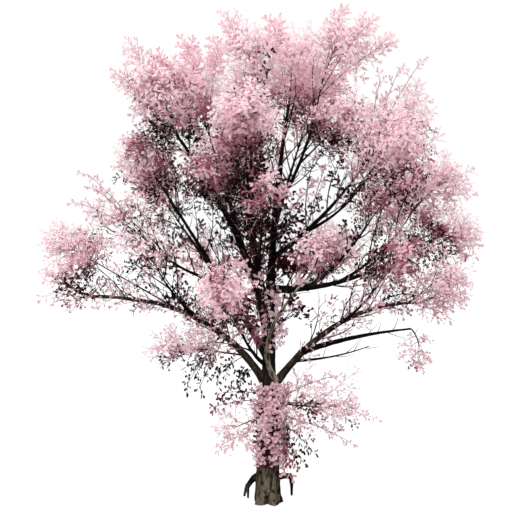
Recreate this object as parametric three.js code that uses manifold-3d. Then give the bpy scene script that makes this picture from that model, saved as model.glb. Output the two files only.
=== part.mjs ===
// A peach tree in full blossom, about 5.5 m tall, rooted in level ground.
// One trunk with two arching surface roots, its boughs, and masses of twigs covered in blossom.
// Millimetres, +Z up. The origin is the middle of the trunk's flat cut at ground level; -Y is the front.

import * as THREE from "three";
import { mergeVertices } from "three/addons/utils/BufferGeometryUtils.js";
import Module from "manifold-3d";

const wasm = await Module();
wasm.setup();

// The trunk: its height to the fork, where its top stands, how its middle bows, and [height, radius] pairs.
const TRUNK_HEIGHT = 2010;
const TRUNK_TOP = [25, 0, TRUNK_HEIGHT];
const TRUNK_BOW = [-12, 10, 0];
const TRUNK_RADII = [[0, 162], [110, 140], [350, 127], [1230, 112], [1500, 76], [1840, 62], [TRUNK_HEIGHT, 60]];
const FLUTES = { count: 5, depth: 0.09, fade: 300, turn: 0.7 };

// Surface roots: each arches from the trunk's side over a shoulder to a foot that the ground cuts off.
const ROOTS = [
  { from: [-70, 50, 290], shoulder: [-165, 80, 275], foot: [-243, 150, 105], radius: 50, tip: 24 },
  { from: [-236, 143, 140], shoulder: [-262, 168, 75], foot: [-280, 190, -60], radius: 24, tip: 10 },
  { from: [-233, 140, 150], shoulder: [-228, 122, 80], foot: [-225, 112, -60], radius: 23, tip: 9 },
  { from: [70, 50, 255], shoulder: [190, 90, 285], foot: [255, 120, 250], radius: 40, tip: 28 },
  { from: [248, 117, 268], shoulder: [280, 150, 200], foot: [272, 232, -60], radius: 28, tip: 10 },
];

// Boughs: the limb each one leaves, the share of that limb where it leaves, its root radius, and how far
// its middle bows out of the straight line. A bough ends where it enters its mass, or at a tip of its own.
const BARE_TIP = [1110, -180, 1800];
const LEVEL_TIP = [1540, -330, 2010];
const BOUGHS = {
  leader: { from: "trunk", at: 1, radius: 59, bow: [-50, -60, 0] },
  left_centre_bough: { from: "trunk", at: 0.87, radius: 64, bow: [190, 150, -40] },
  left_mid_bough: { from: "trunk", at: 0.8, radius: 46, bow: [70, 200, -130] },
  left_low_bough: { from: "trunk", at: 0.64, radius: 50, bow: [180, 60, 260] },
  right_low_bough: { from: "trunk", at: 0.61, radius: 50, bow: [-60, 60, 260] },
  centre_stem: { from: "trunk", at: 0.9, radius: 43, bow: [-90, -30, -60] },
  back_bough: { from: "trunk", at: 0.93, radius: 48, bow: [40, 150, -80] },
  front_stem: { from: "right_low_bough", at: 0.07, radius: 36, bow: [-248, 68, -65] },
  front_left_bough: { from: "trunk", at: 0.76, radius: 28, bow: [-20, -60, -60] },
  right_mid_bough: { from: "leader", at: 0.16, radius: 42, bow: [30, 40, -140] },
  upper_right_bough: { from: "leader", at: 0.3, radius: 34, bow: [60, 30, -60] },
  back_top_bough: { from: "leader", at: 0.42, radius: 28, bow: [-20, 120, -60] },
  top_right_bough: { from: "leader", at: 0.52, radius: 27, bow: [60, -60, -40] },
  centre_front_bough: { from: "centre_stem", at: 0.3, radius: 22, bow: [0, -110, -40] },
  centre_front_high_bough: { from: "centre_stem", at: 0.5, radius: 24, bow: [0, -90, -40] },
  upper_left_back_bough: { from: "left_centre_bough", at: 0.5, radius: 30, bow: [20, 90, -40] },
  left_back_bough: { from: "left_mid_bough", at: 0.35, radius: 30, bow: [20, 110, -50] },
  left_outer_bough: { from: "left_mid_bough", at: 0.52, radius: 24, bow: [-30, 20, -90] },
  left_inner_bough: { from: "left_low_bough", at: 0.52, radius: 22, bow: [-40, -60, 20] },
  right_bare_branch: { from: "right_low_bough", at: 0.2, radius: 18, bow: [20, -10, -30], tip: BARE_TIP },
  right_level_bough: { from: "right_low_bough", at: 0.27, radius: 38, bow: [0, -30, 40], tip: LEVEL_TIP },
  right_inner_bough: { from: "right_low_bough", at: 0.5, radius: 22, bow: [10, -120, -20] },
  right_upper_bough: { from: "right_mid_bough", at: 0.46, radius: 22, bow: [40, 30, -70] },
  right_front_high_bough: { from: "upper_right_bough", at: 0.3, radius: 22, bow: [40, -80, -60] },
  back_left_low_bough: { from: "back_bough", at: 0.22, radius: 28, bow: [-30, 60, -70] },
  back_right_low_bough: { from: "back_bough", at: 0.3, radius: 28, bow: [60, 80, -90] },
  back_right_bough: { from: "right_mid_bough", at: 0.24, radius: 30, bow: [20, 140, -90] },
};

// Masses of blossom: the limb that each one grows from, its middle, and its reach along X, Y and Z.
const MASSES = {
  top_left: { on: "left_centre_bough", middle: [-1130, -450, 4450], reach: [500, 480, 490] },
  upper_left_back: { on: "upper_left_back_bough", middle: [-860, 830, 4670], reach: [600, 600, 560] },
  top_centre_left: { on: "centre_stem", middle: [-190, -330, 4810], reach: [500, 490, 540] },
  top_centre: { on: "leader", middle: [270, 350, 4900], reach: [510, 510, 540] },
  top_right: { on: "top_right_bough", middle: [690, -320, 4930], reach: [520, 470, 500] },
  left_high: { on: "left_centre_bough", at: 0.62, middle: [-620, -640, 3620], reach: [430, 420, 430] },
  right_high: { on: "top_right_bough", at: 0.42, middle: [790, -420, 4210], reach: [370, 410, 420] },
  back_top: { on: "back_top_bough", middle: [560, 1100, 4680], reach: [600, 580, 580] },
  right_top: { on: "upper_right_bough", middle: [1470, 180, 4250], reach: [550, 480, 600] },
  right_front_high: { on: "right_front_high_bough", middle: [1280, -780, 3890], reach: [500, 480, 470] },
  right_upper: { on: "right_upper_bough", middle: [1870, 60, 3520], reach: [480, 470, 460] },
  right_mid: { on: "right_mid_bough", middle: [1915, -350, 3000], reach: [430, 430, 400] },
  right_tip: { on: "right_low_bough", middle: [1860, -520, 2470], reach: [370, 370, 410] },
  right_inner: { on: "right_inner_bough", middle: [1290, -980, 2750], reach: [410, 430, 380] },
  centre_front_high: { on: "centre_front_high_bough", middle: [-250, -1080, 4130], reach: [490, 460, 460] },
  centre_front: { on: "centre_front_bough", middle: [-40, -1280, 3400], reach: [390, 410, 420] },
  centre_right_front: { on: "front_stem", middle: [470, -1350, 2860], reach: [360, 370, 300] },
  front_left_low: { on: "front_left_bough", middle: [-430, -1280, 2430], reach: [460, 450, 430] },
  left_inner: { on: "left_inner_bough", middle: [-1300, -780, 2900], reach: [440, 430, 400] },
  left_shoulder: { on: "left_mid_bough", middle: [-1340, -100, 3830], reach: [470, 470, 460] },
  left_outer: { on: "left_outer_bough", middle: [-1760, 250, 3180], reach: [460, 460, 400] },
  left_tip_high: { on: "left_low_bough", at: 0.6, middle: [-2160, -130, 2860], reach: [450, 400, 330] },
  left_tip_low: { on: "left_low_bough", middle: [-2110, -500, 2500], reach: [400, 370, 270] },
  left_lower: { on: "left_low_bough", at: 0.2, middle: [-940, -330, 1810], reach: [520, 410, 250] },
  left_back: { on: "left_back_bough", middle: [-1400, 980, 3590], reach: [600, 600, 580] },
  back_centre: { on: "back_bough", middle: [-410, 1480, 3900], reach: [730, 610, 650] },
  back_right: { on: "back_right_bough", middle: [1560, 1180, 3480], reach: [660, 640, 640] },
  back_left_low: { on: "back_left_low_bough", middle: [-820, 1500, 2640], reach: [640, 580, 510] },
  back_right_low: { on: "back_right_low_bough", middle: [820, 1650, 2760], reach: [640, 560, 540] },
  sprout_left: { on: "trunk", at: 0.5, middle: [-320, -330, 930], reach: [430, 290, 480] },
  sprout_right: { on: "trunk", at: 0.56, middle: [620, -200, 1100], reach: [690, 440, 530] },
  hanging_right: { on: "right_level_bough", middle: [1600, -380, 1770], reach: [220, 210, 230] },
};

// Inside a mass a stem runs on from its limb, and twigs leave it by the golden angle, wide at its foot
// and closing towards its tip. Their number and the size of their sprays follow from the mass's reach.
const GOLDEN_ANGLE = THREE.MathUtils.degToRad(137.5);
const WIDE_ANGLE = THREE.MathUtils.degToRad(80);
const NARROW_ANGLE = THREE.MathUtils.degToRad(28);
const QUARTER_TURN = Math.PI / 2;
const UPWARD_PULL = 0.1;
const ENTRY = 0.8;
const STEM_RADIUS = 12;
const STEM_REACH = 0.5;
const STEM_BOW = 0.12;
const FIRST_TWIG = 0.18;
const LAST_TWIG = 0.96;
const TWIGS = 5;
const TYPICAL_REACH = 450;
const TWIG_RADIUS = 10;
const SHORTEST_TWIG = 90;

// A spray of blossom is a kite-shaped blade of four faces, ridged along its middle. Each twig carries one
// on its tip and more at these [share of the twig, tilt off it, roll about it]. A spray that leaves its
// mass's space, or crowds another, is tried again by [turn, shrink] before it is skipped.
const SPRAY_LENGTH = 410;
const SPRAY_WIDTH = 0.64;
const SPRAY_THICKNESS = 0.16;
const SPRAY_WIDEST = 0.55;
const SPRAY_SPACING = 0.43;
const TIP_SPRAY_HOLD = 0.38;
const SPRAY_PLACES = [
  [0.75, 1.0, 1.6],
  [0.7, 1.0, 4.7],
  [0.5, 1.15, 0],
  [0.42, 1.15, 3.1],
  [0.2, 1.3, 1.6],
  [0.15, 1.3, 4.7],
];
const SPRAY_TRIES = [[0, 1], [0.9, 1], [-0.9, 1], [0, 0.75], [2, 0.75], [0, 0.55], [3, 0.55]];

// The gap where two pieces meet, the clearance of twigs from limbs, and how finely limbs are divided.
const GAP = 0.3;
const TWIG_CLEARANCE = 12;
const TRUNK_SIDES = 12;
const TRUNK_STEPS = 10;
const TRUNK_CROWDING = 1.5;
const ROOT_SIDES = 5;
const BOUGH_SIDES = 6;
const SLIM_SIDES = 5;
const SLIM_RADIUS = 32;
const BOUGH_STEP = 260;
const BOUGH_TAPER = 0.25;
const BOUGH_FALL = 0.8;
const UP = new THREE.Vector3(0, 0, 1);

const bark = new THREE.MeshStandardMaterial({ color: 0x4a4038, roughness: 0.92, metalness: 0 });
const blossom = new THREE.MeshStandardMaterial({ color: 0xe8aebc, roughness: 0.75, metalness: 0 });

const { clamp, lerp, mapLinear } = THREE.MathUtils;
const vector = (numbers) => new THREE.Vector3(...numbers);
const along = (from, heading, distance) => from.clone().addScaledVector(heading, distance);

// Repeatable random numbers from 0 to 1.
function seeded(seed) {
  let state = seed >>> 0;
  return () => {
    state = (state + 0x6d2b79f5) >>> 0;
    let mixed = Math.imul(state ^ (state >>> 15), state | 1);
    mixed ^= mixed + Math.imul(mixed ^ (mixed >>> 7), mixed | 61);
    return ((mixed ^ (mixed >>> 14)) >>> 0) / 4294967296;
  };
}

// A closed geometry as a solid that can be joined and cut.
function solidOf(geometry) {
  geometry.deleteAttribute("normal");
  geometry.deleteAttribute("uv");
  const closed = mergeVertices(geometry, 1e-3);
  const vertProperties = new Float32Array(closed.attributes.position.array);
  const triVerts = new Uint32Array(closed.index.array);
  return new wasm.Manifold(new wasm.Mesh({ numProp: 3, vertProperties, triVerts }));
}

// The largest body of a solid as a named mesh.
function meshOf(name, solid, material) {
  const largest = solid.decompose().reduce((a, b) => (b.volume() > a.volume() ? b : a));
  const made = largest.getMesh();
  const geometry = new THREE.BufferGeometry();
  geometry.setAttribute("position", new THREE.BufferAttribute(made.vertProperties, 3));
  geometry.setIndex(new THREE.BufferAttribute(made.triVerts, 1));
  geometry.computeVertexNormals();
  const mesh = new THREE.Mesh(geometry, material);
  mesh.name = name;
  return mesh;
}

// A direction that opens by an angle from a heading, rolled about it from the upper side.
function leaning(heading, opening, roll) {
  const level = Math.abs(heading.z) < 0.95 ? UP : new THREE.Vector3(0, -1, 0);
  const side = along(level, heading, -heading.dot(level)).normalize().applyAxisAngle(heading, roll);
  return heading.clone().multiplyScalar(Math.cos(opening)).addScaledVector(side, Math.sin(opening));
}

// A curve from start to end whose middle stands off the straight line by the bow.
function bowed(start, end, bow) {
  const control = start.clone().lerp(end, 0.5).addScaledVector(bow, 2);
  return new THREE.QuadraticBezierCurve3(start, control, end);
}

// The same curve with both ends carried on by the gap.
function lengthened(curve) {
  const start = along(curve.v0, curve.getTangent(0), -GAP);
  const end = along(curve.v2, curve.getTangent(1), GAP);
  return new THREE.QuadraticBezierCurve3(start, curve.v1, end);
}

// Rings along a curve: their share of its length, their middles, and two directions square to the curve.
function ringsAlong(curve, steps, crowding) {
  let normal = leaning(curve.getTangent(0), QUARTER_TURN, 0);
  return Array.from({ length: steps + 1 }, (_, i) => {
    const share = (i / steps) ** crowding;
    const tangent = curve.getTangent(share);
    normal = along(normal, tangent, -normal.dot(tangent)).normalize();
    return { share, middle: curve.getPoint(share), normal, across: tangent.cross(normal) };
  });
}

// A round bar bent along a curve, with the radius that radiusAt gives for a share of its length and an angle.
function limbSolid(curve, radiusAt, sides, steps, crowding = 1) {
  const bar = new THREE.CylinderGeometry(1, 1, 1, sides, steps);
  const rings = ringsAlong(curve, steps, crowding);
  const place = bar.attributes.position;
  for (let i = 0; i < place.count; i++) {
    const [x, y, z] = [place.getX(i), place.getY(i), place.getZ(i)];
    const { share, middle, normal, across } = rings[Math.round((y + 0.5) * steps)];
    const radius = radiusAt(share, Math.atan2(z, x));
    const point = along(along(middle, across, x * radius), normal, z * radius);
    place.setXYZ(i, point.x, point.y, point.z);
  }
  return solidOf(bar);
}

// A solid of four corners.
function fourCorners([a, b, c, d]) {
  const turned = b.clone().sub(a).cross(c.clone().sub(a)).dot(d.clone().sub(a)) < 0;
  const geometry = new THREE.BufferGeometry().setFromPoints(turned ? [a, c, b, d] : [a, b, c, d]);
  return solidOf(geometry.setIndex([0, 2, 1, 0, 1, 3, 1, 2, 3, 2, 0, 3]));
}

// The corners of a three-sided twig: three round its foot, and its point.
function twigCorners({ foot, tip, heading }) {
  const rolls = [0, (2 * Math.PI) / 3, (4 * Math.PI) / 3];
  return [...rolls.map((roll) => along(foot, leaning(heading, QUARTER_TURN, roll), TWIG_RADIUS)), tip];
}

// The corners of a blossom spray that leans off a heading by the tilt, on the side the roll gives:
// its root, its tip, and the two ends of its widest part, which is lifted to give the blade its ridge.
function sprayCorners(root, heading, tilt, roll, length) {
  const way = leaning(heading, tilt, roll);
  const face = leaning(heading, tilt + QUARTER_TURN, roll);
  const across = face.clone().cross(way);
  const lifted = along(along(root, way, SPRAY_WIDEST * length), face, SPRAY_THICKNESS * length);
  const half = (SPRAY_WIDTH * length) / 2;
  return [root, along(root, way, length), along(lifted, across, half), along(lifted, across, -half)];
}

// How far a point is from a mass's middle, as a share of the mass's reach that way.
const depthIn = (mass, point) => point.clone().sub(mass.middle).divide(mass.reach).length();

// The distance from a point inside a mass to its outside, along a heading.
function roomAhead(mass, from, heading) {
  const start = from.clone().sub(mass.middle).divide(mass.reach);
  const step = heading.clone().divide(mass.reach);
  const a = step.dot(step);
  const b = start.dot(step);
  const c = start.dot(start) - 1;
  return c >= 0 ? 0 : (-b + Math.sqrt(b * b - a * c)) / a;
}

const limbs = {};
const masses = {};
const tree = new THREE.Group();
tree.name = "peach_tree";

// Keeps a limb's line and radius, and the solid a little fatter than it that cuts its neighbours clear.
function addLimb(name, curve, radiusAt, solid, fatter) {
  const samples = Array.from({ length: 81 }, (_, i) => [curve.getPoint(i / 80), radiusAt(i / 80)]);
  limbs[name] = { curve, radiusAt, samples, fatter };
  tree.add(meshOf(name, solid, bark));
}

// Radius of the trunk at a share of its height: straight lines between the pairs of TRUNK_RADII.
function trunkRadius(share) {
  const height = share * TRUNK_HEIGHT;
  const above = Math.max(1, TRUNK_RADII.findIndex(([top]) => top >= height - 1e-6));
  const [low, high] = TRUNK_RADII.slice(above - 1, above + 1);
  return mapLinear(height, low[0], high[0], low[1], high[1]);
}

// The trunk fused with its surface roots, all of it fatter by the extra.
function trunkSolid(curve, extra) {
  const fluted = (share, angle) => {
    const fade = Math.exp((-share * TRUNK_HEIGHT) / FLUTES.fade);
    const wave = Math.cos(FLUTES.count * angle + FLUTES.turn);
    return trunkRadius(share) * (1 + FLUTES.depth * fade * wave) + extra;
  };
  const roots = ROOTS.map(({ from, shoulder, foot, radius, tip }) => {
    const arch = new THREE.QuadraticBezierCurve3(vector(from), vector(shoulder), vector(foot));
    return limbSolid(arch, (share) => lerp(radius, tip, share) + extra, ROOT_SIDES, ROOT_SIDES);
  });
  const column = limbSolid(curve, fluted, TRUNK_SIDES, TRUNK_STEPS, TRUNK_CROWDING);
  return wasm.Manifold.union([column, ...roots]);
}

// The trunk stands on the flat cut that the ground makes through it and its roots.
function addTrunk() {
  const curve = bowed(new THREE.Vector3(), vector(TRUNK_TOP), vector(TRUNK_BOW));
  const standing = trunkSolid(curve, 0).trimByPlane([0, 0, 1], 0);
  addLimb("trunk", curve, trunkRadius, standing, trunkSolid(lengthened(curve), GAP));
}

// Where a bough ends: its own tip, or the near side of the mass that it carries.
function boughEnd(name, tip, start) {
  if (tip) return vector(tip);
  const mass = Object.values(masses).find(({ on, at }) => on === name && at === undefined);
  const heading = mass.middle.clone().sub(start).normalize();
  const half = 1 / heading.clone().divide(mass.reach).length();
  return along(mass.middle, heading, -ENTRY * half);
}

// A bough tapers along its line and swells to a collar where it leaves its parent, which cuts it clear.
function addBough(name, { from, at, radius, bow, tip }) {
  const parent = limbs[from].curve;
  const follows = at === 1;
  const start = along(parent.getPoint(at), parent.getTangent(at), follows ? GAP : 0);
  const curve = bowed(start, boughEnd(name, tip, start), vector(bow));
  const length = curve.getLength();
  const collar = follows ? 0 : 0.3 * radius;
  const radiusAt = (share) =>
    lerp(radius, BOUGH_TAPER * radius, share ** BOUGH_FALL) + collar * Math.exp((-share * length) / (2.2 * radius));
  const steps = clamp(Math.round(length / BOUGH_STEP), 4, 9);
  const sides = radius > SLIM_RADIUS ? BOUGH_SIDES : SLIM_SIDES;
  const whole = limbSolid(curve, radiusAt, sides, steps);
  const cut = Object.values(limbs).reduce((solid, other) => solid.subtract(other.fatter), whole);
  const fatter = limbSolid(lengthened(curve), (share) => radiusAt(share) + GAP, sides, steps);
  addLimb(name, curve, radiusAt, cut, fatter);
}

// True where a ball lies in a mass's own space, nearer to it than to any other, and clear of every limb.
function allowed(mass, point, radius) {
  const own = depthIn(mass, point);
  if (own >= 1) return false;
  const nearer = (other) => other !== mass && depthIn(other, point) < own + 0.03;
  if (Object.values(masses).some(nearer)) return false;
  const clear = ([middle, thick]) => middle.distanceTo(point) > thick + radius + TWIG_CLEARANCE;
  return Object.values(limbs).every(({ samples }) => samples.every(clear));
}

// The line of a mass's stem: from its limb through its middle towards its far side.
function stemLine(mass) {
  const { curve } = limbs[mass.on];
  const onSide = mass.at !== undefined;
  const start = curve.getPoint(onSide ? mass.at : 1);
  const inward = mass.middle.clone().sub(start).normalize().addScaledVector(UP, 0.3).normalize();
  const far = along(mass.middle, inward.multiply(mass.reach), STEM_REACH);
  const onward = curve.getTangent(1).multiplyScalar(onSide ? 0 : STEM_BOW * start.distanceTo(far));
  return bowed(start, far, onward);
}

// The twigs of a mass: where each leaves the stem, its heading, and its tip short of the mass's outside.
function twigsOf(mass, stem, sprayLength, random) {
  const count = Math.round(TWIGS * mass.scale);
  const twigs = Array.from({ length: count }, (_, i) => {
    const share = lerp(FIRST_TWIG, LAST_TWIG, i / (count - 1));
    const foot = stem.getPoint(share);
    const opening = i === count - 1 ? 0 : lerp(WIDE_ANGLE, NARROW_ANGLE, share);
    const heading = leaning(stem.getTangent(share), opening, GOLDEN_ANGLE * i + 0.5 * random());
    heading.addScaledVector(UP, UPWARD_PULL).normalize();
    const length = Math.max(roomAhead(mass, foot, heading) - 0.6 * sprayLength, SHORTEST_TWIG);
    return { foot, heading, tip: along(foot, heading, length) };
  });
  const free = ({ foot, tip }) =>
    [0.25, 0.5, 0.75, 1].every((s) => allowed(mass, foot.clone().lerp(tip, s), TWIG_RADIUS * (1 - s)));
  return twigs.filter(free);
}

// Where the sprays of a twig are rooted, the last of the twig held in the spray on its tip.
function sprayRoots({ foot, heading, tip }, sprayLength, random) {
  const under = along(tip, leaning(heading, QUARTER_TURN, 0), -0.25 * SPRAY_THICKNESS * sprayLength);
  const tipSpray = [along(under, heading, -TIP_SPRAY_HOLD * sprayLength), 0, 0];
  const sideSprays = SPRAY_PLACES.map(([share, tilt, roll]) => [
    foot.clone().lerp(tip, share),
    tilt,
    roll + 0.8 * random(),
  ]);
  return [tipSpray, ...sideSprays];
}

// A mass is its stem, its twigs and their sprays fused into one body.
function addMass(name, mass, seed) {
  const random = seeded(seed);
  const limb = limbs[mass.on];
  const stem = stemLine(mass);
  const root = mass.at === undefined ? Math.min(STEM_RADIUS, 0.9 * limb.radiusAt(1)) : STEM_RADIUS;
  const pieces = [limbSolid(stem, (share) => lerp(root, 0.55 * root, share), 3, 2).subtract(limb.fatter)];
  const sprayLength = SPRAY_LENGTH * mass.scale;
  const middles = [];
  const addSpray = (heading, [start, tilt, roll]) => {
    const full = sprayLength * (0.9 + 0.1 * random());
    const blades = SPRAY_TRIES.map(([turn, shrink]) =>
      sprayCorners(start, heading, tilt, roll + turn, full * shrink),
    );
    const middleOf = (blade) => blade[2].clone().lerp(blade[3], 0.5);
    const roomy = (blade) =>
      middles.every((other) => other.distanceTo(middleOf(blade)) >= SPRAY_SPACING * sprayLength);
    const chosen = blades.find((blade) => roomy(blade) && blade.every((corner) => allowed(mass, corner, 0)));
    if (!chosen) return;
    middles.push(middleOf(chosen));
    pieces.push(fourCorners(chosen));
  };
  for (const twig of twigsOf(mass, stem, sprayLength, random)) {
    pieces.push(fourCorners(twigCorners(twig)));
    sprayRoots(twig, sprayLength, random).forEach((spray) => addSpray(twig.heading, spray));
  }
  tree.add(meshOf(name, wasm.Manifold.union(pieces), blossom));
}

for (const [name, { on, at, middle, reach }] of Object.entries(MASSES)) {
  const scale = Math.sqrt((reach[0] + reach[1] + reach[2]) / 3 / TYPICAL_REACH);
  masses[name] = { on, at, middle: vector(middle), reach: vector(reach), scale };
}
addTrunk();
Object.entries(BOUGHS).forEach(([name, bough]) => addBough(name, bough));
Object.entries(masses).forEach(([name, mass], i) => addMass(name, mass, 11 + 7 * i));

export default tree;
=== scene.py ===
"""The looks of a peach tree in full blossom, in metres, +Z up, with its front towards -Y.

Bark with its relief stands for the trunk and the boughs. Each mass of the frame is grown again from its
limb by the rule of its solid, and is carried on to finer twigs, sprays and single blossoms within the same
reach.
"""

import math
import random

import bmesh
import bpy
import numpy as np
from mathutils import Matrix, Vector, noise


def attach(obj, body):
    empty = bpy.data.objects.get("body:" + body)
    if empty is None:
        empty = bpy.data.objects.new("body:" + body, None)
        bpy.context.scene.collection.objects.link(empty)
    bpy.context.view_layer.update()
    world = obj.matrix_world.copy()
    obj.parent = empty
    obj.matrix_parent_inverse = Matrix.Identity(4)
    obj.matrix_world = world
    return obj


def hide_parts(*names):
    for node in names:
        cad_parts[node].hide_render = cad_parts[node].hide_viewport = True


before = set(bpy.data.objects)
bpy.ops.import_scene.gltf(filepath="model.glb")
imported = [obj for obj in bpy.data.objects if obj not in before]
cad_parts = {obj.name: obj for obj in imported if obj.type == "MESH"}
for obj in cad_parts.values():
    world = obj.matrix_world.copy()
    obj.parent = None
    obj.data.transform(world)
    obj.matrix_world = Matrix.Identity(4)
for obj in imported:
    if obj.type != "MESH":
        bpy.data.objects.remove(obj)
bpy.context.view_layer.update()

UP = Vector((0, 0, 1))
FRONT = Vector((0, -1, 0))
QUARTER_TURN = math.pi / 2
FULL_TURN = (0, math.tau)
GOLDEN_ANGLE = math.radians(137.5)
LINE_STEPS = 40

# The trunk: its height to the fork, where its top stands, how its middle bows, and its radius by height.
TRUNK_HEIGHT = 2.010
TRUNK_TOP = (0.025, 0, TRUNK_HEIGHT)
TRUNK_BOW = (-0.012, 0.010, 0)
TRUNK_HEIGHTS = (0, 0.110, 0.350, 1.230, 1.500, 1.840, TRUNK_HEIGHT)
TRUNK_RADII = (0.162, 0.140, 0.127, 0.112, 0.076, 0.062, 0.060)
FLUTES = 5
FLUTE_DEPTH = 0.09
FLUTE_FADE = 0.300
FLUTE_TURN = 0.7

# The shallow hollow at the foot of the trunk's front.
FOOT_HOLLOW_DEPTH = 0.34
FOOT_HOLLOW_ANGLE = 0.26
FOOT_HOLLOW_HEIGHT = 0.075

# Surface roots: each arches from the trunk over a shoulder to a foot, and the last two numbers are its radii.
ROOTS = (
    ((-0.070, 0.050, 0.290), (-0.165, 0.080, 0.275), (-0.243, 0.150, 0.105), 0.050, 0.024),
    ((-0.236, 0.143, 0.140), (-0.262, 0.168, 0.075), (-0.280, 0.190, -0.060), 0.024, 0.010),
    ((-0.233, 0.140, 0.150), (-0.228, 0.122, 0.080), (-0.225, 0.112, -0.060), 0.023, 0.009),
    ((0.070, 0.050, 0.255), (0.190, 0.090, 0.285), (0.255, 0.120, 0.250), 0.040, 0.028),
    ((0.248, 0.117, 0.268), (0.280, 0.150, 0.200), (0.272, 0.232, -0.060), 0.028, 0.010),
)

# Boughs: the limb that each one leaves, the share of that limb where it leaves, its root radius and its bow.
BOUGHS = {
    "leader": ("trunk", 1, 0.059, (-0.050, -0.060, 0)),
    "left_centre_bough": ("trunk", 0.87, 0.064, (0.190, 0.150, -0.040)),
    "left_mid_bough": ("trunk", 0.8, 0.046, (0.070, 0.200, -0.130)),
    "left_low_bough": ("trunk", 0.64, 0.050, (0.180, 0.060, 0.260)),
    "right_low_bough": ("trunk", 0.61, 0.050, (-0.060, 0.060, 0.260)),
    "centre_stem": ("trunk", 0.9, 0.043, (-0.090, -0.030, -0.060)),
    "back_bough": ("trunk", 0.93, 0.048, (0.040, 0.150, -0.080)),
    "front_stem": ("right_low_bough", 0.07, 0.036, (-0.248, 0.068, -0.065)),
    "front_left_bough": ("trunk", 0.76, 0.028, (-0.020, -0.060, -0.060)),
    "right_mid_bough": ("leader", 0.16, 0.042, (0.030, 0.040, -0.140)),
    "upper_right_bough": ("leader", 0.3, 0.034, (0.060, 0.030, -0.060)),
    "back_top_bough": ("leader", 0.42, 0.028, (-0.020, 0.120, -0.060)),
    "top_right_bough": ("leader", 0.52, 0.027, (0.060, -0.060, -0.040)),
    "centre_front_bough": ("centre_stem", 0.3, 0.022, (0, -0.110, -0.040)),
    "centre_front_high_bough": ("centre_stem", 0.5, 0.024, (0, -0.090, -0.040)),
    "upper_left_back_bough": ("left_centre_bough", 0.5, 0.030, (0.020, 0.090, -0.040)),
    "left_back_bough": ("left_mid_bough", 0.35, 0.030, (0.020, 0.110, -0.050)),
    "left_outer_bough": ("left_mid_bough", 0.52, 0.024, (-0.030, 0.020, -0.090)),
    "left_inner_bough": ("left_low_bough", 0.52, 0.022, (-0.040, -0.060, 0.020)),
    "right_bare_branch": ("right_low_bough", 0.2, 0.018, (0.020, -0.010, -0.030)),
    "right_level_bough": ("right_low_bough", 0.27, 0.038, (0, -0.030, 0.040)),
    "right_inner_bough": ("right_low_bough", 0.5, 0.022, (0.010, -0.120, -0.020)),
    "right_upper_bough": ("right_mid_bough", 0.46, 0.022, (0.040, 0.030, -0.070)),
    "right_front_high_bough": ("upper_right_bough", 0.3, 0.022, (0.040, -0.080, -0.060)),
    "back_left_low_bough": ("back_bough", 0.22, 0.028, (-0.030, 0.060, -0.070)),
    "back_right_low_bough": ("back_bough", 0.3, 0.028, (0.060, 0.080, -0.090)),
    "back_right_bough": ("right_mid_bough", 0.24, 0.030, (0.020, 0.140, -0.090)),
}
TIPS = {"right_bare_branch": (1.110, -0.180, 1.800), "right_level_bough": (1.540, -0.330, 2.010)}
BOUGH_TAPER = 0.25
BOUGH_FALL = 0.8
COLLAR = 0.3
COLLAR_FADE = 2.2

# The limbs' meshes: their sides, the rings along them, and the height of the flat cut at the ground.
TRUNK_SIDES = 64
TRUNK_RINGS = 120
TRUNK_CROWDING = 1.3
ROOT_SIDES = 20
ROOT_RINGS = 30
THIN_SIDES = 16
THICK_SIDES = 24
THICK_BOUGH = 0.03
FEWEST_RINGS = 24
RING_PITCH = 0.03
GROUND_CUT = 0.0005

# The bark's relief: its depth as a share of the radius, its plates, crumbs and lumps to a metre, and how high
# they rise. Less paleness makes the bark as dark as if it lay lower: this paints shade on the trunk's sides
# and back, and darkens the roots.
TRUNK_RELIEF = 0.1
ROOT_RELIEF = 0.16
BOUGH_RELIEF = 0.14
PLATES = (24, 24, 6)
CRUMBS = (70, 70, 30)
LUMPS = 5
FISSURE_FLOOR = 0.12
PLATE_RISE = 2.2
CRUMB_RISE = 0.25
LUMP_RISE = 0.8
PLATE_LEVEL = 0.6
SHADED_SIDE_PALENESS = 0.25
ROOT_PALENESS = 0.35

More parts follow.
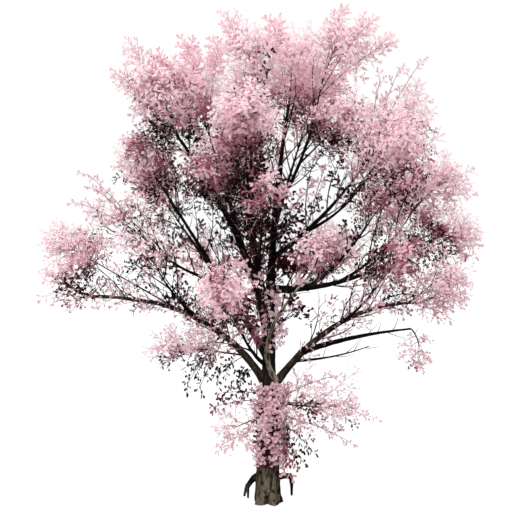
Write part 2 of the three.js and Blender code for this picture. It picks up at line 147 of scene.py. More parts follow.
# Masses: the limb that each one grows from and the share of it, its middle, and its reach along X, Y and Z.
MASSES = {
    "top_left": ("left_centre_bough", 1, (-1.130, -0.450, 4.450), (0.500, 0.480, 0.490)),
    "upper_left_back": ("upper_left_back_bough", 1, (-0.860, 0.830, 4.670), (0.600, 0.600, 0.560)),
    "top_centre_left": ("centre_stem", 1, (-0.190, -0.330, 4.810), (0.500, 0.490, 0.540)),
    "top_centre": ("leader", 1, (0.270, 0.350, 4.900), (0.510, 0.510, 0.540)),
    "top_right": ("top_right_bough", 1, (0.690, -0.320, 4.930), (0.520, 0.470, 0.500)),
    "left_high": ("left_centre_bough", 0.62, (-0.620, -0.640, 3.620), (0.430, 0.420, 0.430)),
    "right_high": ("top_right_bough", 0.42, (0.790, -0.420, 4.210), (0.370, 0.410, 0.420)),
    "back_top": ("back_top_bough", 1, (0.560, 1.100, 4.680), (0.600, 0.580, 0.580)),
    "right_top": ("upper_right_bough", 1, (1.470, 0.180, 4.250), (0.550, 0.480, 0.600)),
    "right_front_high": ("right_front_high_bough", 1, (1.280, -0.780, 3.890), (0.500, 0.480, 0.470)),
    "right_upper": ("right_upper_bough", 1, (1.870, 0.060, 3.520), (0.480, 0.470, 0.460)),
    "right_mid": ("right_mid_bough", 1, (1.915, -0.350, 3.000), (0.430, 0.430, 0.400)),
    "right_tip": ("right_low_bough", 1, (1.860, -0.520, 2.470), (0.370, 0.370, 0.410)),
    "right_inner": ("right_inner_bough", 1, (1.290, -0.980, 2.750), (0.410, 0.430, 0.380)),
    "centre_front_high": ("centre_front_high_bough", 1, (-0.250, -1.080, 4.130), (0.490, 0.460, 0.460)),
    "centre_front": ("centre_front_bough", 1, (-0.040, -1.280, 3.400), (0.390, 0.410, 0.420)),
    "centre_right_front": ("front_stem", 1, (0.470, -1.350, 2.860), (0.360, 0.370, 0.300)),
    "front_left_low": ("front_left_bough", 1, (-0.430, -1.280, 2.430), (0.460, 0.450, 0.430)),
    "left_inner": ("left_inner_bough", 1, (-1.300, -0.780, 2.900), (0.440, 0.430, 0.400)),
    "left_shoulder": ("left_mid_bough", 1, (-1.340, -0.100, 3.830), (0.470, 0.470, 0.460)),
    "left_outer": ("left_outer_bough", 1, (-1.760, 0.250, 3.180), (0.460, 0.460, 0.400)),
    "left_tip_high": ("left_low_bough", 0.6, (-2.160, -0.130, 2.860), (0.450, 0.400, 0.330)),
    "left_tip_low": ("left_low_bough", 1, (-2.110, -0.500, 2.500), (0.400, 0.370, 0.270)),
    "left_lower": ("left_low_bough", 0.2, (-0.940, -0.330, 1.810), (0.520, 0.410, 0.250)),
    "left_back": ("left_back_bough", 1, (-1.400, 0.980, 3.590), (0.600, 0.600, 0.580)),
    "back_centre": ("back_bough", 1, (-0.410, 1.480, 3.900), (0.730, 0.610, 0.650)),
    "back_right": ("back_right_bough", 1, (1.560, 1.180, 3.480), (0.660, 0.640, 0.640)),
    "back_left_low": ("back_left_low_bough", 1, (-0.820, 1.500, 2.640), (0.640, 0.580, 0.510)),
    "back_right_low": ("back_right_low_bough", 1, (0.820, 1.650, 2.760), (0.640, 0.560, 0.540)),
    "sprout_left": ("trunk", 0.5, (-0.320, -0.330, 0.930), (0.430, 0.290, 0.480)),
    "sprout_right": ("trunk", 0.56, (0.620, -0.200, 1.100), (0.690, 0.440, 0.530)),
    "hanging_right": ("right_level_bough", 1, (1.600, -0.380, 1.770), (0.220, 0.210, 0.230)),
}

# A mass's stem: where its bough ends in the mass, how far the stem passes the middle, its bow and its lift.
ENTRY = 0.8
STEM_REACH = 0.12
STEM_BOW = 0.12
STEM_LIFT = 0.3
STEM_RADIUS = 0.012
STEM_TIP = 0.004
STEM_STEPS = 20
ENTERED = 0.92
TYPICAL_REACH = 0.450

# The middle and the reach of the crown, of the painted shade in it, and of the blossom on the trunk.
CROWN_HEART = (0, 0, 3.2)
CROWN_REACH = (2.4, 1.9, 2.3)
SHADE_HEART = (-0.2, 0, 3.2)
SHADE_REACH = (2.6, 2.0, 1.6)
TRUNK_HEART = (0, 0, 1.2)
TRUNK_REACH = (0.4, 0.4, 1.6)

# Hollows of the crown whose sprays get painted shade: the middle of each and its reach. The first one is the
# core.
HOLLOWS = (
    ((-0.20, 0.0, 3.30), (0.80, 2.4, 0.55)),
    ((1.36, -0.5, 3.45), (0.42, 1.8, 0.38)),
    ((-0.90, -0.3, 3.50), (0.40, 1.6, 0.40)),
    ((-1.22, -0.3, 4.05), (0.40, 1.6, 0.18)),
    ((0.55, -0.4, 4.05), (0.25, 1.2, 0.18)),
    ((-0.20, -0.2, 4.42), (0.25, 1.2, 0.15)),
    ((1.61, -0.5, 2.90), (0.50, 1.4, 0.35)),
    ((1.08, -0.8, 2.85), (0.30, 1.2, 0.35)),
    ((-0.65, -0.7, 3.40), (0.45, 0.8, 0.25)),
    ((-1.98, -0.4, 2.50), (0.40, 0.8, 0.20)),
    ((-0.45, -1.2, 2.15), (0.55, 0.8, 0.32)),
    ((-0.90, -0.3, 1.65), (0.45, 0.6, 0.15)),
    ((0.42, -0.2, 1.14), (0.20, 0.6, 0.15)),
    ((0.84, -0.2, 0.95), (0.15, 0.6, 0.10)),
)

# How thickly a mass is grown, where it isn't the usual 1: less where the crown is open.
FULLNESS = {
    "top_left": 1.5, "upper_left_back": 0.85, "top_centre": 1.2, "top_right": 0.9, "back_top": 0.8,
    "left_high": 1.2, "right_high": 2.0, "right_top": 0.65, "right_front_high": 1.3, "left_shoulder": 1.3,
    "centre_front_high": 1.7, "centre_front": 0.55, "centre_right_front": 0.8, "front_left_low": 1.1,
    "right_mid": 1.4, "right_tip": 1.5, "right_inner": 1.1, "hanging_right": 1.3, "left_inner": 0.45,
    "left_outer": 0.35, "left_tip_high": 1.5, "left_lower": 1.2, "left_back": 0.5, "back_centre": 0.8,
    "back_right": 0.65, "back_left_low": 0.3, "back_right_low": 0.8, "sprout_left": 0.3, "sprout_right": 0.4,
}

# Twigs leave a stem by the golden angle, wide at its foot and closing towards its tip, and carry sprays.
TWIGS = 25
FEWEST_TWIGS = 4
WIDE_ANGLE = math.radians(112)
NARROW_ANGLE = math.radians(18)
UPWARD_PULL = 0.04
TWIG_ROLL = (0, 0.6)
TWIG_SHARES = (0.4, 1)
TWIG_SPREAD = 1.6
TWIG_RADIUS = 0.0055
TWIG_TAPER = 0.55
TWIG_BOW = 0.05
SHORTEST_TWIG = 0.09
SPRAY_PITCH = 0.08
SPRAY_SHARES = (0.22, 0.92)
SPRAY_OPENINGS = (1.15, 0.6)
TIP_SPRAY = (1, 0.1)
SPRAY_LIFT = 0.05
SPRAY_ROOM = 0.95

# A spray is one shoot with sprigs round it, longest at its widest share, and blossoms along the sprigs.
SPRAY_LENGTH = 0.24
SPRAY_SPREAD = (0.75, 1.1)
SHORTEST_SPRAY = 0.09
SHOOT_RADIUS = 0.0032
SHOOT_SAG = (-0.05, 0.07)
SPRIGS = 8
FEWEST_SPRIGS = 3
SPRIG_SHARES = (0.2, 0.97)
SPRIG_OPENINGS = (1.3, 0.6)
WIDEST_SHARE = 0.45
HALF_SPRAY = 0.56
SPRIG_REACH = 0.46
SPRIG_SPREAD = (0.75, 1.2)
SPRIG_BOW = 0.05
SPRIG_RADIUS = 0.0017
SPRIG_BLOSSOMS = (0.3, 0.55, 0.8, 1.0)
RICHNESS_DEPTHS = (0.2, 0.6, 0.85, 1)
RICHNESS = (0.5, 0.95, 1, 0.9)
LIMB_CLEARANCE = 0.012
LIMB_PITCH = 0.04
FEWEST_MIDDLES = 8

# A blossom is this wide, less at a mass's edge, and a bud is smaller and nearly shut.
BLOSSOM_WIDTH = (0.032, 0.042)
BLOSSOM_CLOSING = (0, 0.3)
BLOSSOM_LEAN = (0, 0.6)
BLOSSOM_LIFT = 0.15
STALK = 0.004
EDGE_WIDTH = 0.78
BUD_SHARE = 0.1
BUD_WIDTH = 0.7
BUD_CLOSING = 0.95

# The shape of a blossom of radius 1: its petals' cup and half width when open and when shut, and its heart.
OPEN_BLOSSOM = (math.radians(12), 0.5)
SHUT_BLOSSOM = (math.radians(72), 0.3)
PETALS = 5
PETAL_FOOT = 0.1
PETAL_WAIST = 0.62
PETAL_FOLD = 0.1
HEART_RADIUS = 0.26
HEART_LIFT = 0.12

# Spurs, the short twigs along the limbs: the ends of a limb's stretch as shares of it, and their spacing.
USUAL_SPURS = (0.34, 0.98, 0.1)
SPURS = {
    "leader": (0.1, 0.6, 0.035),
    "centre_stem": (0.1, 0.8, 0.035),
    "left_centre_bough": (0.3, 0.9, 0.03),
    "left_low_bough": (0.34, 0.98, 0.04),
    "right_low_bough": (0.3, 0.98, 0.06),
    "left_inner_bough": (0.34, 0.98, 0.07),
    "left_outer_bough": (0.34, 0.98, 0.06),
    "front_stem": (0.34, 0.98, 0.07),
}
BARE_LIMBS = (
    "left_mid_bough", "left_back_bough", "back_left_low_bough", "right_bare_branch", "right_level_bough",
    "upper_right_bough", "top_right_bough", "back_top_bough",
)
SHAKE = (0.2, 0.8)
SIDE_BOW = 0.08
THIN_TAPER = 0.3
SPUR_LENGTH = (0.05, 0.26)
SPUR_ANGLE = (0.6, 1.1)
SPUR_RADIUS = 0.0045
SPUR_LIFT = 0.45
SPUR_SPRAY = 0.19
SPRAY_FOOT = 0.6
BARE_SPURS = 0.25
# A spur's spray takes one of the shaded tints, painted shade, more often the deeper it lies in the crown.
SPUR_SHADE = 0.9
SHADED_TINTS = (4, 5, 5)
OPEN_TINTS = (1, 2, 2, 3)

# Tufts close along a limb, mostly in the palest tints as painted light: the limb, the ends of its stretch as
# shares of it, and the spacing.
TUFTS = (
    ("trunk", 0.2, 0.63, 0.0021),
    ("trunk", 0.84, 1, 0.01),
    ("leader", 0, 0.15, 0.01),
    ("right_low_bough", 0.2, 0.98, 0.03),
    ("left_low_bough", 0.25, 0.8, 0.022),
)
TUFT_SIDE = Vector((0.5, -0.86, 0))
TUFT_FACING = 0.2
TUFT_ANGLE = (0.3, 0.8)
TUFT_LENGTH = (0.005, 0.03)
TUFT_BOW = 0.02
TUFT_TAPER = 0.5
TUFT_SPRAY = 0.13
TUFT_TINTS = (0, 0, 1, 1, 1, 2, 4)

# Thin side branches that rise from the boughs through the open middle of the crown, with spurs of their own.
BRANCH_PITCH = 0.24
BRANCH_SHARES = (0.25, 0.95)
BRANCH_ANGLE = (0.35, 0.8)
BRANCH_LIFT = 0.3
BRANCH_LENGTH = (0.45, 1.0)
BRANCH_SHRINK = 0.6
BRANCH_RADIUS = 0.009
BRANCH_SPURS = 5
BRANCH_SPUR_SHARES = (0.35, 1)
BRANCH_SPUR_ANGLE = (0.3, 0.8)
BRANCH_SPUR_LENGTH = (0.08, 0.2)
BARE_BRANCHES = 0.72

# Twigs that stand alone: the limb and the share of it where each one leaves, its tip and its blossoms' tint,
# whose deeper numbers are painted shade.
LONE_TWIGS = (
    ("left_low_bough", 0.36, (-0.87, -0.33, 1.40), 5),
    ("left_low_bough", 0.34, (-0.74, -0.30, 1.36), 5),
    ("left_low_bough", 0.20, (-0.54, -0.22, 1.48), 5),
    ("left_low_bough", 0.12, (-0.30, -0.18, 1.44), 5),
    ("left_low_bough", 0.45, (-0.91, -0.50, 2.46), 5),
    ("left_low_bough", 0.48, (-1.00, -0.45, 2.34), 5),
    ("trunk", 0.46, (0.35, -0.20, 0.56), 5),
    ("trunk", 0.42, (0.25, -0.22, 0.54), 3),
    ("trunk", 0.50, (0.47, -0.18, 0.66), 5),
    ("trunk", 0.44, (0.22, -0.26, 0.42), 2),
    ("trunk", 0.56, (1.13, -0.20, 1.02), 1),
    ("trunk", 0.54, (1.00, -0.22, 1.11), 1),
    ("trunk", 0.50, (0.88, -0.20, 0.75), 2),
    ("trunk", 0.54, (0.72, -0.24, 1.48), 1),
    ("leader", 0.30, (0.24, -0.35, 3.16), 5),
    ("leader", 0.22, (0.38, -0.40, 2.80), 5),
    ("leader", 0.20, (0.30, -0.45, 2.86), 4),
    ("leader", 0.18, (0.42, -0.40, 2.72), 5),
    ("leader", 0.24, (0.24, -0.45, 2.75), 4),
    ("leader", 0.25, (0.30, -0.35, 2.70), 4),
    ("leader", 0.12, (-0.29, -0.60, 2.72), 1),
    ("leader", 0.34, (0.36, -0.30, 3.30), 4),
    ("leader", 0.28, (0.30, -0.40, 2.98), 5),
    ("leader", 0.40, (0.50, -0.25, 3.58), 2),
    ("upper_right_bough", 0.25, (0.55, -0.20, 3.38), 5),
    ("upper_right_bough", 0.30, (0.62, -0.10, 3.75), 2),
    ("upper_right_bough", 0.95, (1.69, 0.18, 4.92), 1),
    ("upper_right_bough", 0.95, (1.45, 0.18, 4.83), 1),
    ("upper_right_bough", 0.92, (1.24, 0.10, 4.73), 1),
    ("left_outer_bough", 0.85, (-2.04, 0.25, 3.68), 1),
    ("left_outer_bough", 0.9, (-1.96, 0.25, 3.52), 2),
    ("left_outer_bough", 0.95, (-2.15, 0.25, 3.36), 1),
    ("trunk", 0.60, (-0.48, -0.25, 1.29), 4),
    ("trunk", 0.57, (-0.56, -0.28, 1.15), 3),
    ("trunk", 0.42, (-0.50, -0.25, 0.72), 1),
)

# Longer twigs that make the lobes of the crown's upper outline, in rows of the same kind.
LOBES = (
    ("upper_left_back_bough", 0.98, (-0.95, 0.80, 5.20), 1),
    ("upper_left_back_bough", 0.97, (-0.60, 0.80, 5.18), 1),
    ("upper_left_back_bough", 0.96, (-1.28, 0.70, 5.03), 1),
    ("left_centre_bough", 0.97, (-1.38, -0.42, 4.93), 1),
    ("left_centre_bough", 0.96, (-1.51, -0.42, 4.66), 1),
    ("centre_stem", 0.97, (-0.39, -0.30, 5.25), 1),
    ("leader", 0.97, (0.08, 0.30, 5.31), 1),
    ("top_right_bough", 0.98, (0.74, -0.30, 5.30), 1),
    ("top_right_bough", 0.97, (1.02, -0.28, 5.22), 1),
    ("top_right_bough", 0.95, (1.22, -0.28, 5.03), 1),
)

# A lone twig's form, and the sprays on it and on a lobe: the share where they start, their number and length.
LONE_ARCH = 0.1
LONE_RADII = (0.006, 0.002)
LONE_ANGLE = (0.4, 0.9)
LONE_SPRAYS = (0.3, 8, 0.12)
LOBE_SPRAYS = (0.55, 16, 0.18)

# Kinds of bar that wood is made of: its sides, its steps along, and whether it ends in a point.
BAR_KINDS = {
    "stem": (7, 8, False),
    "twig": (5, 4, False),
    # The twigs of a mass take the pale shoot skin, partly painted light.
    "twig_painted_light": (4, 4, False),
    "shoot": (3, 3, False),
    "sprig": (3, 1, True),
}

# Petal colours: the pale pink of sprays on the light's side, then tints of painted shade down to near-black
# for sprays deep in shade, and a blossom's heart.
PETAL_TINTS = ("#FBE9ED", "#F8DDE3", "#F0CDD5", "#AA6A77", "#3E131C", "#070304")
HEART = "#C4607A"

# Painted shade, counted in tints: where it starts, below a mass at the crown's outside and at its heart, on a
# mass's inner side and in the hollows. A spray that faces the light is painted paler, and chance shakes each
# one.
LIGHT_SIDE = Vector((-0.3, -0.2, 0.93))
START_SHADE = 0.3
BELOW_SHADES = (2, 6)
INNER_SHADE = 5
HOLLOW_SHADE = 7
FACING_SHADE = 0.6
SHADE_SHAKE = (-0.4, 0.4)

# Pockets of painted shade by their size, and nooks, gaps that run outwards between lobes and get painted
# shade, by how many make a radian.
# Each starts where the noise passes its START, and nooks end at NOOK_FADE times the shade's reach.
POCKET = 0.36
POCKET_SHADE = 9
POCKET_START = 0.04
NOOKS = 7
NOOK_SHADE = 12
NOOK_START = 0.18
NOOK_FADE = 1.6
DEEPEST_NOOK = 2.8

# Colours of the painted shade of the crown on the trunk's bark higher up and of fissures, whose colour also
# paints shade, and the sizes of the patterns on wood and petals. The grain of the bark and the veins of the
# petals are drawn coarser than life, so that they show.
CROWN_SHADE_BARK = "#1B1613"
FISSURE_AND_SHADE = "#0B0907"
BARK_STREAK = 0.035
BARK_GRAIN = 0.009
BARK_PORE = 0.05
TWIG_SCAR = 0.03
PETAL_VEIN = 0.004

# Seeds of the random draws.
MASS_SEED = 11
SEED_STEP = 7
TUFT_SEED = 5
SPUR_SEED = 6

# The camera stands level with the middle of the crown. The key light comes from high up, in front and to the
# left, and a wide fill from the front.
CAMERA_PLACE = (0, -9.5, 3.3)
CAMERA_AIM = (-0.112, 0, 2.752)
CAMERA_ANGLE = math.radians(33.5)
AMBIENT = 1.55
KEY = {"energy": 2.8, "angle": math.radians(60), "towards": (0.55, 0.68, -1.0)}
FILL = {"energy": 1.0, "angle": math.radians(110), "towards": (-0.1, 1, -0.2)}
FLOOR_SIZE = 60


def lerp(a, b, share):
    """The number that lies at a share of the way from a to b."""
    return a + (b - a) * share


def leaning(heading, opening, roll):
    """A direction that opens by an angle from a heading, rolled about it from the upper side."""
    level = UP if abs(heading.z) < 0.95 else FRONT
    side = (level - heading * heading.dot(level)).normalized()
    turned = side * math.cos(roll) + heading.cross(side) * math.sin(roll)
    return heading * math.cos(opening) + turned * math.sin(opening)


class Line:
    """A curve between two points that a third one pulls to its side."""

    def __init__(self, start, control, end):
        self.start = Vector(start)
        self.control = Vector(control)
        self.end = Vector(end)

    def point(self, share):
        return self.start.lerp(self.control, share).lerp(self.control.lerp(self.end, share), share)

    def heading(self, share):
        return (self.control.lerp(self.end, share) - self.start.lerp(self.control, share)).normalized()

    def length(self):
        points = [self.point(i / LINE_STEPS) for i in range(LINE_STEPS + 1)]
        return sum((after - before).length for before, after in zip(points, points[1:]))


def bowed(start, end, bow):
    """A line from start to end whose middle stands off the straight one by the bow."""
    return Line(start, (start + end) / 2 + 2 * bow, end)


class Limb:
    """The trunk or a bough: its line and its radius at a share of that line."""

    def __init__(self, line, radius_at):
        self.line = line
        self.radius_at = radius_at
        self.length = line.length()


class Mass:
    """A mass of blossom: the limb that it grows from, its own space, and how thickly it is grown."""

    def __init__(self, name):
        self.limb, self.at, middle, reach = MASSES[name]
        self.middle = Vector(middle)
        self.reach = Vector(reach)
        self.size = sum(reach) / 3 / TYPICAL_REACH
        self.fullness = FULLNESS.get(name, 1)

    def shares(self, offset):
        """An offset as shares of the reach along X, Y and Z."""
        return Vector(a / b for a, b in zip(offset, self.reach))

    def depth(self, point):
        """How far a point is from the middle, as a share of the reach that way."""
        return self.shares(point - self.middle).length

    def room_ahead(self, start, heading):
        """The distance from a point to the mass's outside along a heading, 0 from a point outside it."""
        place = self.shares(start - self.middle)
        step = self.shares(heading)
        a = step.dot(step)
        b = place.dot(step)
        c = place.dot(place) - 1
        return 0 if c >= 0 else (-b + math.sqrt(b * b - a * c)) / a


limbs = {}
masses = {name: Mass(name) for name in MASSES}


def trunk_radius(share):
    """The trunk's radius at a share of its height."""
    return float(np.interp(share * TRUNK_HEIGHT, TRUNK_HEIGHTS, TRUNK_RADII))


def bough_end(name, start):
    """Where a bough ends: at its own tip, or on the near side of the mass that it carries."""
    if name in TIPS:
        return Vector(TIPS[name])
    mass = next(mass for mass in masses.values() if mass.limb == name and mass.at == 1)
    heading = (mass.middle - start).normalized()
    half = 1 / mass.shares(heading).length
    return mass.middle - heading * ENTRY * half


def bough_limb(name):
    """A bough that tapers along its line, with a collar where it leaves its parent."""
    parent, at, radius, bow = BOUGHS[name]
    start = limbs[parent].line.point(at)
    line = bowed(start, bough_end(name, start), Vector(bow))
    length = line.length()
    collar = 0 if at == 1 else COLLAR * radius

    def radius_at(share):
        swelling = collar * math.exp(-share * length / (COLLAR_FADE * radius))
        return lerp(radius, BOUGH_TAPER * radius, share ** BOUGH_FALL) + swelling

    return Limb(line, radius_at)


def lay_out_limbs():
    """Works out the trunk's line and then each bough's, from its parent's."""
    limbs["trunk"] = Limb(bowed(Vector((0, 0, 0)), Vector(TRUNK_TOP), Vector(TRUNK_BOW)), trunk_radius)
    for name in BOUGHS:
        limbs[name] = bough_limb(name)


def linear(hex_colour):
    """An sRGB hex value as linear red, green, blue and full alpha."""
    parts = [int(hex_colour[i:i + 2], 16) / 255 for i in (1, 3, 5)]
    return [c / 12.92 if c <= 0.04045 else ((c + 0.055) / 1.055) ** 2.4 for c in parts] + [1]


def add(tree, kind, values=None, links=None, **settings):
    """Adds a shader node with its settings and input values, and links its inputs to other nodes' outputs."""
    node = tree.nodes.new("ShaderNode" + kind)
    for name, value in settings.items():
        setattr(node, name, value)
    for socket, value in (values or {}).items():
        node.inputs[socket].default_value = value
    for socket, source in (links or {}).items():
        tree.links.new(source, node.inputs[socket])
    return node


def empty_tree(owner):
    """The node tree of a new material or world, with nothing in it."""
    owner.use_nodes = True
    owner.node_tree.nodes.clear()
    return owner.node_tree


def new_material(name):
    """A new material and its node tree, with nothing in it."""
    material = bpy.data.materials.new(name)
    return material, empty_tree(material)


def peach_bark(name, dark, pale, pore, upper):
    """Old peach bark: matt plates, streaked along the limb, with pale pores and near-black fissures. The
    fissures' colour also paints shade where the stored paleness is low, and by the upper share the bark
    darkens with height as painted shade of the crown.
    """
    material, tree = new_material(name)
    run = add(tree, "Attribute", attribute_name="bark_run").outputs["Vector"]
    ridge_and_shade = add(tree, "Attribute", attribute_name="bark_ridge_and_shade").outputs["Fac"]
    along = add(tree, "Mapping", {"Scale": (1, 1, 0.22)}, {"Vector": run}).outputs[0]
    across = add(tree, "Mapping", {"Scale": (1, 1, 5)}, {"Vector": run}).outputs[0]
    streaks = add(tree, "TexNoise", {"Scale": 1 / BARK_STREAK, "Detail": 5}, {"Vector": along})
    grain = add(tree, "TexNoise", {"Scale": 1 / BARK_GRAIN, "Detail": 4}, {"Vector": along})
    pores = add(tree, "TexNoise", {"Scale": 1 / BARK_PORE, "Detail": 2}, {"Vector": across})
    plates = add(tree, "Mix", {6: linear(dark), 7: linear(pale)},
                 {0: streaks.outputs["Fac"]}, data_type="RGBA")
    worn = add(tree, "MapRange", {1: 0.6, 2: 0.72, 3: 0, 4: 0.55}, {0: pores.outputs["Fac"]})
    pored = add(tree, "Mix", {7: linear(pore)},
                {0: worn.outputs[0], 6: plates.outputs[2]}, data_type="RGBA")
    height = add(tree, "SeparateXYZ", links={0: run}).outputs["Z"]
    crown_shade_share = add(tree, "MapRange", {1: 0.45, 2: 1.15, 3: 0, 4: upper}, {0: height})
    crown_shaded = add(tree, "Mix", {7: linear(CROWN_SHADE_BARK)},
               {0: crown_shade_share.outputs[0], 6: pored.outputs[2]}, data_type="RGBA")
    sunk_and_shaded = add(tree, "MapRange", {1: 0.15, 2: 0.6, 3: 0, 4: 1}, {0: ridge_and_shade})
    colour = add(tree, "Mix", {6: linear(FISSURE_AND_SHADE)},
                 {0: sunk_and_shaded.outputs[0], 7: crown_shaded.outputs[2]}, data_type="RGBA")
    rough = add(tree, "MapRange", {3: 0.78, 4: 0.97}, {0: grain.outputs["Fac"]})
    bump = add(tree, "Bump", {"Strength": 0.8, "Distance": 0.006}, {"Height": grain.outputs["Fac"]})
    shader = add(tree, "BsdfPrincipled", {"IOR": 1.45, "Specular IOR Level": 0.12},
                 {"Base Color": colour.outputs[2], "Roughness": rough.outputs[0], "Normal": bump.outputs[0]})
    add(tree, "OutputMaterial", links={"Surface": shader.outputs[0]})
    return material


def young_bark(name, dark, pale):
    """Young peach wood: smooth skin with a dull satin look, mottled with scars between its dark and pale
    colours.
    """
    material, tree = new_material(name)
    place = add(tree, "TexCoord").outputs["Object"]
    scars = add(tree, "TexNoise", {"Scale": 1 / TWIG_SCAR, "Detail": 3}, {"Vector": place})
    colour = add(tree, "Mix", {6: linear(dark), 7: linear(pale)},
                 {0: scars.outputs["Fac"]}, data_type="RGBA")
    rough = add(tree, "MapRange", {3: 0.55, 4: 0.85}, {0: scars.outputs["Fac"]})
    shader = add(tree, "BsdfPrincipled", {"IOR": 1.45, "Specular IOR Level": 0.3},
                 {"Base Color": colour.outputs[2], "Roughness": rough.outputs[0]})
    add(tree, "OutputMaterial", links={"Surface": shader.outputs[0]})
    return material


def petal_skin(name, colour):
    """Fresh petals: thin, matt and finely veined, aglow where light falls through. The colour is plain."""
    material, tree = new_material(name)
    place = add(tree, "TexCoord").outputs["Object"]
    veins = add(tree, "TexNoise", {"Scale": 1 / PETAL_VEIN, "Detail": 2}, {"Vector": place})
    rough = add(tree, "MapRange", {3: 0.55, 4: 0.8}, {0: veins.outputs["Fac"]})
    bump = add(tree, "Bump", {"Strength": 0.35, "Distance": 0.001}, {"Height": veins.outputs["Fac"]})
    shader = add(tree, "BsdfPrincipled",
                 {"Base Color": linear(colour), "IOR": 1.42, "Specular IOR Level": 0.1},
                 {"Roughness": rough.outputs[0], "Normal": bump.outputs[0]})
    glow = add(tree, "BsdfTranslucent", {"Color": linear(colour)})
    petal = add(tree, "MixShader", {0: 0.55}, {1: shader.outputs[0], 2: glow.outputs[0]})
    add(tree, "OutputMaterial", links={"Surface": petal.outputs[0]})
    return material


def add_piece(name, mesh, slot, *nodes):
    """Adds a finished mesh to the object, in place of the nodes that it stands for."""
    piece = bpy.data.objects.new(name, mesh)
    bpy.context.scene.collection.objects.link(piece)
    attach(piece, "root")
    if nodes:
        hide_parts(*nodes)


def stand_bar(shape, sides, steps, tip=1):
    """Adds a closed bar that stands from height 0 to 1, with a foot of radius 1 and rings along it."""
    first = len(shape.verts)
    cone = bmesh.ops.create_cone(shape, cap_ends=True, segments=sides, radius1=1, radius2=tip, depth=1)
    made = cone["verts"]
    bmesh.ops.translate(shape, verts=made, vec=(0, 0, 0.5))
    edges = {edge for vert in made for edge in vert.link_edges}
    uprights = [edge for edge in edges if abs(edge.verts[0].co.z - edge.verts[1].co.z) > 0.5]
    if steps > 1:
        bmesh.ops.subdivide_edges(shape, edges=uprights, cuts=steps - 1, use_grid_fill=True)
    shape.verts.ensure_lookup_table()
    return shape.verts[first:]


def rings_along(line, steps, crowding):
    """Rings along a line: their share of it, their middles, and two directions square to it."""
    normal = leaning(line.heading(0), QUARTER_TURN, 0)
    rings = []
    for i in range(steps + 1):
        share = (i / steps) ** crowding
        heading = line.heading(share)
        normal = (normal - heading * normal.dot(heading)).normalized()
        rings.append((share, line.point(share), normal, heading.cross(normal)))
    return rings


def bark_relief(run):
    """The height of the bark from 0 in a fissure to 1 on a plate, at a place run out along a limb."""
    streak = noise.noise(Vector(a * b for a, b in zip(run, PLATES)))
    crumble = noise.noise(Vector(a * b for a, b in zip(run, CRUMBS)))
    return min(1, max(0, FISSURE_FLOOR + PLATE_RISE * abs(streak) + CRUMB_RISE * crumble))


def bend_bar(shape, verts, line, steps, radius_at, relief, crowding=1, paleness=lambda angle: 1):
    """Bends a standing bar along a line, with its radius by share and angle, and raises the bark on it."""
    run_layer = shape.verts.layers.float_vector["bark_run"]
    ridge_and_shade_layer = shape.verts.layers.float["bark_ridge_and_shade"]
    rings = rings_along(line, steps, crowding)
    length = line.length()
    for vert in verts:
        share, middle, normal, across = rings[round(vert.co.z * steps)]
        angle = math.atan2(vert.co.y, vert.co.x)
        radius = radius_at(share, angle)
        run = Vector((vert.co.x * radius, vert.co.y * radius, share * length)) + line.start
        height = bark_relief(run)
        lump = noise.noise(run * LUMPS)
        radius *= 1 + relief * (height - PLATE_LEVEL) + LUMP_RISE * relief * lump
        vert[run_layer] = run
        # The height, lowered by the paleness, sets the bark's colour; on the trunk's sides that is painted
        # shade.
        vert[ridge_and_shade_layer] = height * paleness(angle)
        vert.co = middle + across * vert.co.x * radius + normal * vert.co.y * radius


def bark_shape():
    """An empty shape that carries the bark's own coordinates and heights."""
    shape = bmesh.new()
    shape.verts.layers.float_vector.new("bark_run")
    shape.verts.layers.float.new("bark_ridge_and_shade")
    return shape


def add_bark(name, shape, material):
    """Adds a limb's finished shape, smooth all over, in place of the limb's node."""
    bmesh.ops.recalc_face_normals(shape, faces=shape.faces)
    for face in shape.faces:
        face.smooth = True
    mesh = bpy.data.meshes.new(name + "_bark")
    shape.to_mesh(mesh)
    shape.free()
    mesh.materials.append(material)
    add_piece(name + "_bark", mesh, "bark", name)


def fluted_radius(share, angle):
    """The trunk's radius with its flutes, which fade upwards, and the hollow at the foot of its front."""
    height = share * TRUNK_HEIGHT
    flute = FLUTE_DEPTH * math.exp(-height / FLUTE_FADE) * math.cos(FLUTES * angle + FLUTE_TURN)
    from_front = (angle - QUARTER_TURN) / FOOT_HOLLOW_ANGLE
    hollow = FOOT_HOLLOW_DEPTH * math.exp(-from_front ** 2 - (height / FOOT_HOLLOW_HEIGHT) ** 2)
    return trunk_radius(share) * (1 + flute - hollow)


def painted_side_shade(angle):
    """How pale the trunk's plates are painted: palest on its front, with painted shade on its sides and back.
    """
    return lerp(SHADED_SIDE_PALENESS, 1, max(0, math.cos(angle - QUARTER_TURN)))


def add_trunk(material):
    """The trunk with its surface roots, cut flat where it meets the ground."""
    shape = bark_shape()
    line = limbs["trunk"].line
    verts = stand_bar(shape, TRUNK_SIDES, TRUNK_RINGS)
    bend_bar(shape, verts, line, TRUNK_RINGS, fluted_radius, TRUNK_RELIEF, TRUNK_CROWDING, painted_side_shade)
    for start, shoulder, foot, radius, tip in ROOTS:
        line = Line(start, shoulder, foot)
        verts = stand_bar(shape, ROOT_SIDES, ROOT_RINGS)
        bend_bar(shape, verts, line, ROOT_RINGS, lambda share, angle: lerp(radius, tip, share), ROOT_RELIEF,
                 paleness=lambda angle: ROOT_PALENESS)
    everything = shape.verts[:] + shape.edges[:] + shape.faces[:]
    cut = bmesh.ops.bisect_plane(shape, geom=everything, plane_co=(0, 0, GROUND_CUT), plane_no=(0, 0, 1),
                                 clear_inner=True)
    rims = [part for part in cut["geom_cut"] if isinstance(part, bmesh.types.BMEdge)]
    bmesh.ops.holes_fill(shape, edges=rims, sides=0)
    add_bark("trunk", shape, material)


